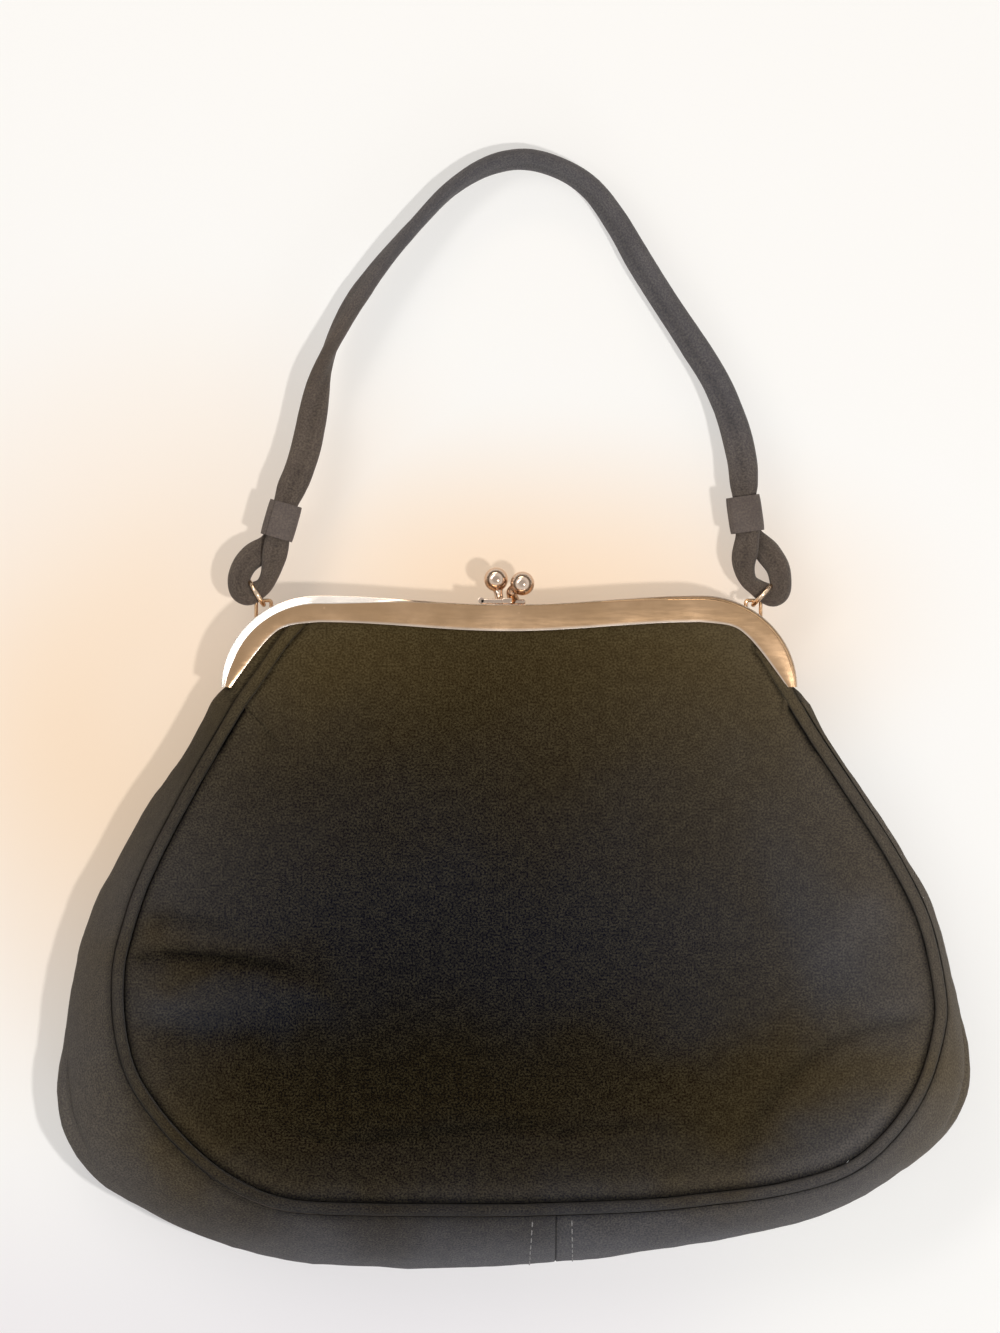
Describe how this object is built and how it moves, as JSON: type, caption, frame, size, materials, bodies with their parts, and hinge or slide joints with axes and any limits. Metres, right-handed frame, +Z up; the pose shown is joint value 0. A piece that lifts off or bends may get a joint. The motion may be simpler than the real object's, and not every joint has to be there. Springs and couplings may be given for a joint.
{
  "type": "handbag",
  "caption": "Rounded cloth frame handbag lying on its back, with a hinged metal frame, ball kiss-lock clasp, piped seams and a swinging top handle on rings.",
  "frame": {"origin": "on the surface under the centre of the bag and its handle together, as the bag lies on its back", "axes": "+Z up, out of the front panel; +Y from the bottom of the bag to the top of the handle; +X along the frame, to the right in the picture"},
  "size_m": [0.3027, 0.3737, 0.046],
  "materials": {
    "gilt_metal": "satin",
    "clasp_metal": "polished",
    "black_cloth": "plain woven, with a slight sheen",
    "sleeve_cloth": "plain woven, turned and sewn",
    "piping_cloth": "plain woven, over a cord",
    "lining_satin": "smooth"
  },
  "bodies": {
    "bag": {"frame_back": "gilt_metal", "hinge_rivet_left": "gilt_metal", "hinge_rivet_right": "gilt_metal", "clasp_back": "clasp_metal", "staple_left": "gilt_metal", "staple_right": "gilt_metal", "front_panel": "black_cloth", "back_panel": "black_cloth", "gusset_left": "black_cloth", "gusset_right": "black_cloth", "piping_front": "piping_cloth", "piping_back": "piping_cloth", "lining_front": "lining_satin", "lining_back": "lining_satin", "lining_gusset": "lining_satin"},
    "front_frame": {"frame_front": "gilt_metal", "clasp_front": "clasp_metal"},
    "handle": {"handle_ring_left": "gilt_metal", "handle_ring_right": "gilt_metal", "handle_strap": "black_cloth", "handle_sleeve_left": "sleeve_cloth", "handle_sleeve_right": "sleeve_cloth"}
  },
  "joints": [
    {"name": "frame_open", "type": "hinge", "parent": "bag", "child": "front_frame", "pos_m": [0, 0.00385, 0.018], "axis": [1, 0, 0], "range_deg": [0, 90], "deforming": ["front_panel", "piping_front", "lining_front", "gusset_left", "gusset_right", "lining_gusset"]},
    {"name": "handle_swing", "type": "hinge", "parent": "bag", "child": "handle", "pos_m": [0, 0.03565, 0.01425], "axis": [1, 0, 0], "range_deg": [0, 78]}
  ]
}
